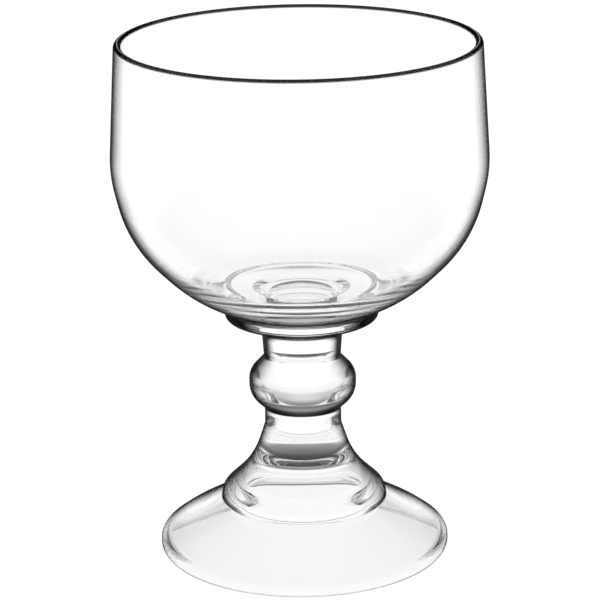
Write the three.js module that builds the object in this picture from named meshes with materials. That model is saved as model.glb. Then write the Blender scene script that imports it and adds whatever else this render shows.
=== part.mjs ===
// Schooner glass: a wide, heavy drinking goblet of clear glass.
// Millimetres, +Z up. The axis of the glass is Z, and the foot stands on z = 0.
// Every piece is a solid of revolution. The pieces are stacked and hot-joined,
// so each meets the next on a flat ring or disc at one shared height.

import * as THREE from 'three';

// Glass
const glassColour = 0xf2f6f5;
const glassRoughness = 0.03;

// Fineness of the surfaces
const segments = 48;
const arcStep = 15; // degrees between two points of a rounded corner

// Main sizes
const glassHeight = 163.5;
const bellyRadius = 58.35;
const footRadius = 45.6;

// Foot: a spreading skirt, hollow underneath
const footHeight = 16.5;
const footEdgeHeight = 4.3;
const footUnderRound = 2.3;
const footTopRound = 2.6;
const footBulgeInset = 5.3; // the top bulges a little, a short way in from the edge
const footBulgeHeight = 8.3;
const footBulgeRound = 49;
const restWidth = 4.5; // the flat ring that the glass stands on, and its outer rounding
const hollowLipHeight = 1.8;
const hollowLipRound = 1.5;
const hollowTopDepth = 2.0; // from the foot's top to where the hollow starts to spread
const hollowTopSpread = 0.15;
const hollowTopRound = 3.8;

// Stem: a bell with a domed hollow, which narrows to a solid waist
const waistRadius = 12.0;
const waistRound = 4.0;
const bellBaseRadius = 26.0;
const bellWall = 6.15; // measured level, at the bell's base
const bellHipSpread = 0.2; // the bell rises almost upright and then turns in at its hip
const bellHipRise = 2.8;
const bellHipRound = 6.15;
const bellRise = 12.4; // from the foot to the bell's shoulder
const bellShoulderSpread = 4.0; // how far the shoulder stands out from the waist
const bellShoulderRound = 27;
const domeSideInset = 0.35; // the dome's side leans in from its base to its hip
const domeSideRise = 4.5;
const domeSideRound = 6;
const domeRise = 14.5; // from the foot to the dome's top
const domeTopRadius = 12.5;
const domeTopRound = 11;
const shoulderToWaist = 12.0;
const waistToKnop = 5.7;

// Knop: the fat ring round the stem
const knopBulge = 4.75; // how far it stands out from the waist
const knopLowerSlope = 4.4;
const knopLowerRound = 7.2;
const knopMiddle = 7.1;
const knopUpperRound = 5.9;
const knopUpperSlope = 5.0;

// Neck and collar under the bowl
const neckHeight = 12.9;
const neckFlareHeight = 4.6; // the part of the neck that flares
const neckFlareRound = 5.0;
const neckSpread = 0.6;
const neckFlareSpread = 4.0;
const collarRadius = 23.9;
const collarHeight = 3.9;
const collarEdgeRound = 1.35;

// Bowl, outside: it widens from the collar to the belly, and closes a little to the rim
const bellyRound = 39;
const turnInset = 4.9;
const turnRound = 40;
const lowInset = 22.45;
const lowRound = 51;
const rimInset = 2.5;
const collarToLow = 5.25;
const lowToTurn = 17.85;
const turnToBelly = 20.6;

// Bowl, wall and floor
const rimBeadWidth = 2.65;
const rimBeadDepth = 6.0;
const rimBeadRound = 15;
const upperWall = 1.95;
const bellyWall = 1.75;
const turnWall = 1.9;
const lowWall = 2.8;
const lowInnerRound = 29;
const floorThickness = 5.4;
const floorRadius = 8.0;
const floorRound = 40;

// Heights of the joints, from the table up
const knopBase = footHeight + bellRise + shoulderToWaist + waistToKnop;
const knopTop = knopBase + knopLowerSlope + knopMiddle + knopUpperSlope;
const collarBase = knopTop + neckHeight;
const collarTop = collarBase + collarHeight;

// A profile point: radius, height and, at a corner, the radius of its rounding.
function at(radius, height, rounding = 0) {
  return { point: new THREE.Vector2(radius, height), rounding };
}

// The points of one corner, with the arc that rounds it.
function cornerPoints(before, corner, after) {
  const { point, rounding } = corner;
  if (rounding === 0) return [point];
  const toBefore = before.point.clone().sub(point);
  const toAfter = after.point.clone().sub(point);
  const reach = Math.min(toBefore.length(), toAfter.length());
  toBefore.normalize();
  toAfter.normalize();
  const half = Math.acos(THREE.MathUtils.clamp(toBefore.dot(toAfter), -1, 1)) / 2;
  const tangent = Math.min(rounding / Math.tan(half), reach);
  const radius = tangent * Math.tan(half);
  const centre = toBefore.clone().add(toAfter).normalize();
  centre.multiplyScalar(radius / Math.sin(half)).add(point);
  const start = point.clone().addScaledVector(toBefore, tangent).sub(centre);
  const end = point.clone().addScaledVector(toAfter, tangent).sub(centre);
  const turn = Math.atan2(start.cross(end), start.dot(end));
  const steps = Math.max(2, Math.ceil(Math.abs(THREE.MathUtils.radToDeg(turn)) / arcStep));
  const origin = new THREE.Vector2();
  return Array.from({ length: steps + 1 }, (_, step) =>
    start.clone().rotateAround(origin, (turn * step) / steps).add(centre));
}

// A profile with its corners rounded. The first and last points stay as they are.
function roundedProfile(corners) {
  const last = corners.length - 1;
  const points = corners.flatMap((corner, index) =>
    index === 0 || index === last
      ? [corner.point]
      : cornerPoints(corners[index - 1], corner, corners[index + 1]));
  const tiny = 1e-3;
  return points.filter((point, index) => index === 0 || point.distanceTo(points[index - 1]) > tiny);
}

// A glass piece turned from its profile, which runs outside up and inside down.
function turned(name, corners) {
  const geometry = new THREE.LatheGeometry(roundedProfile(corners), segments);
  geometry.rotateX(Math.PI / 2);
  const material = new THREE.MeshStandardMaterial({
    color: glassColour,
    roughness: glassRoughness,
    metalness: 0,
  });
  const mesh = new THREE.Mesh(geometry, material);
  mesh.name = name;
  return mesh;
}

// A corner moved into the glass, so that both lines that meet there move by the wall.
function movedInward(before, corner, after, wall, rounding) {
  const toBefore = before.point.clone().sub(corner.point).normalize();
  const toAfter = after.point.clone().sub(corner.point).normalize();
  const half = Math.acos(THREE.MathUtils.clamp(toBefore.dot(toAfter), -1, 1)) / 2;
  const inward = toBefore.add(toAfter).normalize().multiplyScalar(wall / Math.sin(half));
  const moved = corner.point.clone().add(inward);
  return at(moved.x, moved.y, rounding);
}

// Foot: a ring that rests on its flat lower edge and rises to the bell's base.
const domeBaseRadius = bellBaseRadius - bellWall;

function makeFoot() {
  const restInnerRadius = footRadius - restWidth;
  return turned('foot', [
    at(restInnerRadius, 0),
    at(footRadius, 0, footUnderRound),
    at(footRadius, footEdgeHeight, footTopRound),
    at(footRadius - footBulgeInset, footBulgeHeight, footBulgeRound),
    at(bellBaseRadius, footHeight),
    at(domeBaseRadius, footHeight),
    at(domeBaseRadius + hollowTopSpread, footHeight - hollowTopDepth, hollowTopRound),
    at(restInnerRadius, hollowLipHeight, hollowLipRound),
    at(restInnerRadius, 0),
  ]);
}

// Stem: the bell, closed above its dome, and the waist under the knop.
function makeStem() {
  const shoulderHeight = footHeight + bellRise;
  const domeTop = footHeight + domeRise;
  return turned('stem', [
    at(0, domeTop),
    at(domeTopRadius, domeTop, domeTopRound),
    at(domeBaseRadius - domeSideInset, footHeight + domeSideRise, domeSideRound),
    at(domeBaseRadius, footHeight),
    at(bellBaseRadius, footHeight),
    at(bellBaseRadius + bellHipSpread, footHeight + bellHipRise, bellHipRound),
    at(waistRadius + bellShoulderSpread, shoulderHeight, bellShoulderRound),
    at(waistRadius, shoulderHeight + shoulderToWaist, waistRound),
    at(waistRadius, knopBase),
    at(0, knopBase),
  ]);
}

function makeKnop() {
  const knopRadius = waistRadius + knopBulge;
  return turned('knop', [
    at(0, knopBase),
    at(waistRadius, knopBase),
    at(knopRadius, knopBase + knopLowerSlope, knopLowerRound),
    at(knopRadius, knopTop - knopUpperSlope, knopUpperRound),
    at(waistRadius, knopTop),
    at(0, knopTop),
  ]);
}

function makeNeck() {
  return turned('neck', [
    at(0, knopTop),
    at(waistRadius, knopTop),
    at(waistRadius + neckSpread, collarBase - neckFlareHeight, neckFlareRound),
    at(waistRadius + neckFlareSpread, collarBase),
    at(0, collarBase),
  ]);
}

function makeCollar() {
  return turned('collar', [
    at(0, collarBase),
    at(collarRadius, collarBase, collarEdgeRound),
    at(collarRadius, collarTop),
    at(0, collarTop),
  ]);
}

// Bowl: open at the top, with a wall that thickens towards the floor and a beaded rim.
function makeBowl() {
  const lowHeight = collarTop + collarToLow;
  const turnHeight = lowHeight + lowToTurn;
  const bellyHeight = turnHeight + turnToBelly;
  const floorHeight = collarTop + floorThickness;
  const rimRadius = bellyRadius - rimInset;

  const base = at(collarRadius, collarTop);
  const low = at(bellyRadius - lowInset, lowHeight, lowRound);
  const turn = at(bellyRadius - turnInset, turnHeight, turnRound);
  const belly = at(bellyRadius, bellyHeight, bellyRound);
  const bead = rimBeadWidth / 2;
  const rim = at(rimRadius, glassHeight, bead);
  const underBead = rim.point.clone().lerp(belly.point, rimBeadDepth / (glassHeight - bellyHeight));
  return turned('bowl', [
    at(0, collarTop),
    base,
    low,
    turn,
    belly,
    rim,
    at(rimRadius - rimBeadWidth, glassHeight, bead),
    at(underBead.x - upperWall, underBead.y, rimBeadRound),
    movedInward(turn, belly, rim, bellyWall, bellyRound - bellyWall),
    movedInward(low, turn, belly, turnWall, turnRound - turnWall),
    movedInward(base, low, turn, lowWall, lowInnerRound),
    at(floorRadius, floorHeight, floorRound),
    at(0, floorHeight),
  ]);
}

const schoonerGlass = new THREE.Group();
schoonerGlass.add(makeFoot(), makeStem(), makeKnop(), makeNeck(), makeCollar(), makeBowl());

export default schoonerGlass;
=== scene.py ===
import math

import bmesh
import bpy
from mathutils import Matrix, Vector


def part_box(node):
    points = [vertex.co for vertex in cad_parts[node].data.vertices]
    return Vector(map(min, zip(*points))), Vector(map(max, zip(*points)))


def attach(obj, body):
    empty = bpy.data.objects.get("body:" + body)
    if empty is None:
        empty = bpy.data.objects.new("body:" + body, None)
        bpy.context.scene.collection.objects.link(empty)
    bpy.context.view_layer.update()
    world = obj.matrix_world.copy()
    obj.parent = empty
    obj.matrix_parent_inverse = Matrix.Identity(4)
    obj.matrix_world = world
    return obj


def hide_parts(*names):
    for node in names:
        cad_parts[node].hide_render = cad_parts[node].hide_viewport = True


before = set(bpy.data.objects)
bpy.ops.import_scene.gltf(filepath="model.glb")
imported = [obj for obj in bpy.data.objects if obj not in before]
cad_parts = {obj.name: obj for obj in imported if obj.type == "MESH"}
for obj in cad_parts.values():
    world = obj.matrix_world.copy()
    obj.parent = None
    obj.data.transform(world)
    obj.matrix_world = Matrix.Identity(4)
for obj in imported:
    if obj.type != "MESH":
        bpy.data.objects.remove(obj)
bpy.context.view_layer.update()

MM = 0.001


def joint_height(node):
    """The height in mm at which a CAD node ends and the next one begins."""
    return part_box(node)[1].z / MM


def widest(node):
    """The largest radius of a CAD node in mm."""
    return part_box(node)[1].x / MM


# Sizes in mm, which repeat those of the CAD where the frame does not give them
foot_top = joint_height("foot")
stem_top = joint_height("stem")
knop_top = joint_height("knop")
neck_top = joint_height("neck")
collar_top = joint_height("collar")
rim_top = joint_height("bowl")
foot_radius = widest("foot")
knop_radius = widest("knop")
collar_radius = widest("collar")

waist_radius = 12.0
rest_width = 4.5
bell_base_radius = 26.0
bell_wall = 6.15
bell_rise = 12.4
shoulder_to_waist = 12.0
dome_top = foot_top + 14.5
dome_base_radius = bell_base_radius - bell_wall
rest_inner_radius = foot_radius - rest_width

belly_radius = 58.35
belly_trim = 0.09  # keeps the smooth visual inside the box of the faceted CAD
low_height = collar_top + 5.25
turn_height = low_height + 17.85
belly_height = turn_height + 20.6

rim_radius = belly_radius - 2.5
bead_width = 2.65
bead_depth = 6.0
upper_wall = 1.95
belly_wall = 1.75
turn_wall = 1.9
low_wall = 2.8
floor_top = collar_top + 5.4
floor_radius = 8.0

# Outline of the glass: radius, height and the radius that rounds the corner.
# It runs up the dome and hollow, out over the foot, up the outside and down the inside.
HOLLOW = [
    (0, dome_top, 0),
    (12.5, dome_top, 11.0),
    (dome_base_radius - 0.35, foot_top + 4.5, 6.0),
    (dome_base_radius + 0.15, foot_top - 2.0, 3.8),
    (rest_inner_radius, 1.8, 1.5),
    (rest_inner_radius, 0, 0),
]
FOOT_AND_STEM = [
    (foot_radius, 0, 2.3),
    (foot_radius, 4.3, 2.6),
    (foot_radius - 5.3, 8.3, 49.0),
    (bell_base_radius, foot_top, 0.5),
    (bell_base_radius + 0.2, foot_top + 2.8, 5.2),
    (waist_radius + 4.0, foot_top + bell_rise, 27.0),
    (waist_radius, foot_top + bell_rise + shoulder_to_waist, 4.0),
    (waist_radius, stem_top, 1.2),
]
KNOP_AND_NECK = [
    (knop_radius, stem_top + 4.4, 7.2),
    (knop_radius, knop_top - 5.0, 5.9),
    (waist_radius, knop_top, 1.0),
    (waist_radius + 0.6, neck_top - 4.6, 5.0),
    (waist_radius + 4.0, neck_top, 1.5),
]
COLLAR = [
    (collar_radius, neck_top, 1.35),
    (collar_radius, collar_top, 1.5),
]
BOWL_OUTSIDE = [
    (belly_radius - 22.45, low_height, 51.0),
    (belly_radius - 4.9, turn_height, 40.0),
    (belly_radius - belly_trim, belly_height, 39.0),
]
RIM = [
    (rim_radius, rim_top, bead_width / 2),
    (rim_radius - bead_width, rim_top, bead_width / 2),
]


def moved_inward(before, corner, after, wall, rounding):
    """A corner of the inside, set so that both walls that meet at it have the thickness wall."""
    place = Vector((corner[0], corner[1]))
    back = (Vector((before[0], before[1])) - place).normalized()
    on = (Vector((after[0], after[1])) - place).normalized()
    half = back.angle(on) / 2
    moved = place + (back + on).normalized() * (wall / math.sin(half))
    return moved.x, moved.y, rounding


def bowl_inside():
    """The inside of the bowl, from under the rim down to the middle of the floor."""
    low, turn, belly = BOWL_OUTSIDE
    share = bead_depth / (rim_top - belly[1])
    under_bead = rim_radius + (belly[0] - rim_radius) * share
    return [
        (under_bead - upper_wall, rim_top - bead_depth, 15.0),
        moved_inward(turn, belly, RIM[0], belly_wall, belly[2] - belly_wall),
        moved_inward(low, turn, belly, turn_wall, turn[2] - turn_wall),
        moved_inward(COLLAR[1], low, turn, low_wall, 29.0),
        (floor_radius, floor_top, 40.0),
        (0, floor_top, 0),
    ]


ARC_STEP = math.radians(3)
TURNS = 192


def draw_corner(bm, before, corner, after):
    """Adds one corner of the outline, rounded by an arc. Returns its first and last vertex."""
    place = Vector((corner[0], 0, corner[1]))
    rounding = corner[2]
    if not rounding:
        vertex = bm.verts.new(place)
        return vertex, vertex
    back = Vector((before[0], 0, before[1])) - place
    on = Vector((after[0], 0, after[1])) - place
    reach = min(back.length, on.length) * 0.999
    back.normalize()
    on.normalize()
    half = back.angle(on) / 2
    tangent = min(rounding / math.tan(half), reach)
    centre = place + (back + on).normalized() * (tangent / math.cos(half))
    first = bm.verts.new(place + back * tangent)
    bend = math.pi - 2 * half
    if back.cross(on).y > 0:
        bend = -bend
    arc = bmesh.ops.spin(
        bm, geom=[first], cent=centre, axis=(0, 1, 0), angle=bend,
        steps=max(3, math.ceil(abs(bend) / ARC_STEP)),
    )
    last = [item for item in arc["geom_last"] if isinstance(item, bmesh.types.BMVert)][0]
    return first, last


def draw_outline(bm, corners):
    """Draws the whole outline as a chain of edges in the XZ plane, in mm."""
    end = None
    for index, corner in enumerate(corners):
        before = corners[max(index - 1, 0)]
        after = corners[min(index + 1, len(corners) - 1)]
        first, last = draw_corner(bm, before, corner, after)
        if end:
            bm.edges.new((end, first))
        end = last
    bmesh.ops.remove_doubles(bm, verts=bm.verts[:], dist=1e-3)


def blow_glass(name, corners):
    """Turns the outline into one closed skin of glass."""
    bm = bmesh.new()
    draw_outline(bm, corners)
    bmesh.ops.scale(bm, vec=(MM, MM, MM), verts=bm.verts[:])
    bmesh.ops.spin(
        bm, geom=bm.verts[:] + bm.edges[:], cent=(0, 0, 0), axis=(0, 0, 1),
        angle=2 * math.pi, steps=TURNS, use_merge=True,
    )
    bmesh.ops.remove_doubles(bm, verts=bm.verts[:], dist=1e-7)
    bmesh.ops.recalc_face_normals(bm, faces=bm.faces[:])
    mesh = bpy.data.meshes.new(name)
    bm.to_mesh(mesh)
    bm.free()
    mesh.shade_smooth()
    mesh.set_sharp_from_angle(angle=math.radians(35))
    piece = bpy.data.objects.new(name, mesh)
    bpy.context.scene.collection.objects.link(piece)
    return piece


class Wire:
    """A socket's output that takes part in Python arithmetic."""

    def __init__(self, shader, socket):
        self.shader = shader
        self.socket = socket

    def _math(self, operation, first, second):
        return self.shader.add("ShaderNodeMath", {"operation": operation}, {0: first, 1: second})

    def __add__(self, other):
        return self._math("ADD", self, other)

    def __radd__(self, other):
        return self._math("ADD", other, self)

    def __sub__(self, other):
        return self._math("SUBTRACT", self, other)

    def __rsub__(self, other):
        return self._math("SUBTRACT", other, self)

    def __mul__(self, other):
        return self._math("MULTIPLY", self, other)

    def __rmul__(self, other):
        return self._math("MULTIPLY", other, self)

    def __gt__(self, other):
        return self._math("GREATER_THAN", self, other)

    def __lt__(self, other):
        return self._math("LESS_THAN", self, other)


class Shader:
    """A node tree that is written from code."""

    def __init__(self, owner):
        owner.use_nodes = True
        self.tree = owner.node_tree
        self.tree.nodes.clear()

    def add(self, kind, settings=None, sockets=None, output=0):
        """Adds a node with its settings and socket values or links, and gives one output."""
        node = self.tree.nodes.new(kind)
        for name, value in (settings or {}).items():
            if name == "stops":
                self._set_stops(node.color_ramp, value)
            else:
                setattr(node, name, value)
        for name, value in (sockets or {}).items():
            if isinstance(value, Wire):
                self.tree.links.new(value.socket, node.inputs[name])
            else:
                node.inputs[name].default_value = value
        return Wire(self, node.outputs[output]) if node.outputs else None

    def _set_stops(self, ramp, stops):
        while len(ramp.elements) > 1:
            ramp.elements.remove(ramp.elements[-1])
        for index, (place, grey) in enumerate(stops):
            element = ramp.elements[0] if index == 0 else ramp.elements.new(place)
            element.position = place
            element.color = (grey, grey, grey, 1)

    def level(self, value, low, high, stops):
        """A grey level that follows value through stops given in the value's own units."""
        spread = high - low
        placed = [((at - low) / spread, grey) for at, grey in stops]
        return self.add("ShaderNodeValToRGB", {"stops": placed},
                        {"Fac": (value - low) * (1 / spread)})

    def between(self, value, start, end, first, last):
        """Eases from first to last while value goes from start to end."""
        return self.add("ShaderNodeMapRange", {"interpolation_type": "SMOOTHSTEP"},
                        {"Value": value, "From Min": start, "From Max": end,
                         "To Min": first, "To Max": last})

    def light_path(self, output):
        return self.add("ShaderNodeLightPath", output=output)


def ray_kinds(shader):
    """Rays by what the glass did to them: only bent, mirrored within it, mirrored outside it."""
    mirrored = shader.light_path("Glossy Depth") > 0.5
    outside = (shader.light_path("Transmission Depth") < 0.5) * mirrored
    inside = mirrored - outside
    bent = 1 - mirrored
    return bent, inside, outside


def make_clear_glass():
    """Clear soda glass with a slow waviness, mixed with near-black painted shade towards its
    edges and in a band at the top of the rim.
    """
    material = bpy.data.materials.new("clear_glass")
    shader = Shader(material)
    place = shader.add("ShaderNodeTexCoord", output="Object")

    slow = shader.add("ShaderNodeTexNoise", None,
                      {"Vector": place, "Scale": 42.0, "Detail": 1.0, "Roughness": 0.4})
    waviness = shader.add("ShaderNodeBump", None,
                          {"Height": slow, "Strength": 0.06, "Distance": 0.0006},
                          output="Normal")
    height = shader.add("ShaderNodeSeparateXYZ", None, {"Vector": place}, output="Z") * (1 / MM)
    worn = shader.level(height, 0, 1.2, [(0, 0.16), (0.5, 0.05), (1.2, 0.0)])
    glass = shader.add("ShaderNodeBsdfPrincipled", None, {
        "Base Color": (0.997, 1.0, 0.999, 1),
        "Roughness": worn,
        "IOR": 1.52,
        "Transmission Weight": 1.0,
        "Normal": waviness,
    })
    # A near-black diffuse, mixed into the glass as painted shade at its edges and along the rim
    dark = shader.add("ShaderNodeBsdfDiffuse", None, {"Color": (0.002, 0.002, 0.002, 1)})
    surface = shader.add("ShaderNodeMixShader", None,
                         {0: 1 - clear_of_painted_shade(shader, place, height), 1: glass, 2: dark})
    shader.add("ShaderNodeOutputMaterial", None, {"Surface": surface})
    return material


# Painted shade: the clear glass is mixed with black towards its edges, standing in for the dark
# it shows where it bends the light away from the white field.
# For each piece, how far its surface is turned from the view where the painted shade starts and
# where it is darkest.
# 0 faces the view and 1 is edge on. Solid pieces darken before thin walls.
PAINTED_EDGE_SHADE = {
    "foot": (0.7, 0.9),
    "stem": (0.3, 0.8),
    "knop": (0.2, 0.7),
    "neck": (0.3, 0.6),
    "collar": (0.2, 0.4),
    "bowl": (0.6, 0.9),
}
# How much light the painted shade lets through where it is darkest, at the edges and the rim
PAINTED_SHADE_DARKEST_CLEARNESS = 0.03
JOINT_BLEND = 0.3  # mm to either side of a joint
PAINTED_RIM_SHADE_BAND = 1.2  # mm down from the top of the rim, painted black as a shade band


def clear_of_painted_edge_shade(shader, height, slant):
    """How clear the outer skin is of the painted edge shade, piece by piece from the foot up."""
    clear = 1
    base = -1.0  # under the foot, so that the foot's painted edge shade holds from the table up
    for node, (start, full) in PAINTED_EDGE_SHADE.items():
        reached = shader.between(height, base - JOINT_BLEND, base + JOINT_BLEND, 0, 1)
        base = joint_height(node)
        # Painted shade: each piece is mixed towards black as its surface turns edge on to the
        # view
        piece = shader.between(slant, start, full, 1, PAINTED_SHADE_DARKEST_CLEARNESS)
        clear = clear + (piece - clear) * reached
    return clear


def clear_of_painted_shade(shader, place, height):
    """How much light the painted shade lets through the skin: 1 is clear and 0 is painted black.
    """
    slant = shader.add("ShaderNodeLayerWeight", None, {"Blend": 0.5}, output="Facing")
    normal = shader.add("ShaderNodeNewGeometry", output="Normal")
    from_within = shader.add("ShaderNodeNewGeometry", output="Backfacing")
    level_place = shader.add("ShaderNodeVectorMath", {"operation": "MULTIPLY"},
                             {0: place, 1: (1, 1, 0)})
    outward = shader.add("ShaderNodeVectorMath", {"operation": "DOT_PRODUCT"},
                         {0: level_place, 1: normal}, output="Value")
    on_outside = (outward > 0) * (1 - from_within)
    # Painted shade: a black band along the top of the rim, on the faces seen from outside
    rim = shader.between(height, rim_top - PAINTED_RIM_SHADE_BAND, rim_top - PAINTED_RIM_SHADE_BAND / 2, 1, PAINTED_SHADE_DARKEST_CLEARNESS)
    outer_skin_clear_of_painted_shade = 1 - on_outside * (1 - clear_of_painted_edge_shade(shader, height, slant))
    return outer_skin_clear_of_painted_shade * (1 - (1 - from_within) * (1 - rim))


def make_sky():
    """White for the camera, and a bright field under a dark ceiling for the glass."""
    world = bpy.data.worlds.new("studio")
    bpy.context.scene.world = world
    shader = Shader(world)
    direction = shader.add("ShaderNodeTexCoord", output="Generated")
    rise = shader.add("ShaderNodeSeparateXYZ", None, {"Vector": direction}, output="Z")
    bent, inside, outside = ray_kinds(shader)
    seen = shader.light_path("Is Camera Ray")
    scattered = shader.light_path("Is Diffuse Ray")
    through = shader.level(rise, -1, 1, [(-1, 1), (0.1, 1), (0.4, 0.2), (1, 0.05)])
    mirrored = shader.level(rise, -1, 1, [(-1, 0.95), (0.1, 0.95), (0.4, 0.05), (1, 0.05)])
    grazed = shader.level(rise, -1, 1, [(-1, 0.9), (0.1, 0.9), (0.3, 0.02), (1, 0.02)])
    glass_sees = bent * through + inside * mirrored + outside * grazed
    plain = seen + scattered * 0.85
    strength = plain + (1 - seen) * (1 - scattered) * glass_sees
    background = shader.add("ShaderNodeBackground", None,
                            {"Color": (1, 1, 1, 1), "Strength": strength})
    shader.add("ShaderNodeOutputWorld", None, {"Surface": background})


def make_table():
    """A pale table top that goes white, and keeps a breath of the glass's shadow."""
    bm = bmesh.new()
    bmesh.ops.create_grid(bm, x_segments=1, y_segments=1, size=3.0)
    bmesh.ops.translate(bm, vec=(0, 0, -0.0002), verts=bm.verts[:])
    mesh = bpy.data.meshes.new("table_top")
    bm.to_mesh(mesh)
    bm.free()
    table = bpy.data.objects.new("table_top", mesh)
    bpy.context.scene.collection.objects.link(table)

    material = bpy.data.materials.new("table_white")
    shader = Shader(material)
    bent, inside, outside = ray_kinds(shader)
    scattered = shader.light_path("Is Diffuse Ray")
    strength = (1 - scattered) * (bent * 0.98 + inside * 0.95 + outside * 0.9)
    glow = shader.add("ShaderNodeEmission", None, {"Color": (1, 1, 1, 1), "Strength": strength})
    matt = shader.add("ShaderNodeBsdfDiffuse", None, {"Color": (0.1, 0.1, 0.1, 1)})
    surface = shader.add("ShaderNodeAddShader", None, {0: glow, 1: matt})
    shader.add("ShaderNodeOutputMaterial", None, {"Surface": surface})
    mesh.materials.append(material)


def make_softbox():
    """One large lamp high above, for a soft shadow under the foot."""
    lamp = bpy.data.lights.new("softbox", "AREA")
    lamp.shape = "DISK"
    lamp.size = 1.2
    lamp.energy = 6.0
    softbox = bpy.data.objects.new("softbox", lamp)
    softbox.location = (0, 0, 1.6)
    softbox.visible_glossy = False
    softbox.visible_transmission = False
    bpy.context.scene.collection.objects.link(softbox)


def make_camera():
    """The photograph's view: a long lens, a little above the rim, leaning down 17 degrees."""
    data = bpy.data.cameras.new("camera")
    data.sensor_width = 36
    data.sensor_fit = "HORIZONTAL"
    data.lens = 160.02
    data.shift_x = -1.6 / 600
    camera = bpy.data.objects.new("camera", data)
    camera.matrix_world = (
        Matrix.Translation((0, -0.791, 0.330))
        @ Matrix.Rotation(math.radians(90 - 17.47), 4, "X")
        @ Matrix.Rotation(math.radians(-0.76), 4, "Z")
    )
    bpy.context.scene.collection.objects.link(camera)
    bpy.context.scene.camera = camera


outline = HOLLOW + FOOT_AND_STEM + KNOP_AND_NECK + COLLAR + BOWL_OUTSIDE + RIM + bowl_inside()
schooner = blow_glass("schooner_glass", outline)
schooner.data.materials.append(make_clear_glass())
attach(schooner, "root")
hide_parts("foot", "stem", "knop", "neck", "collar", "bowl")

make_sky()
make_table()
make_softbox()
make_camera()
bpy.context.scene.view_settings.view_transform = "Standard"
bpy.context.scene.cycles.max_bounces = 24
bpy.context.scene.cycles.glossy_bounces = 24
bpy.context.scene.cycles.transmission_bounces = 24
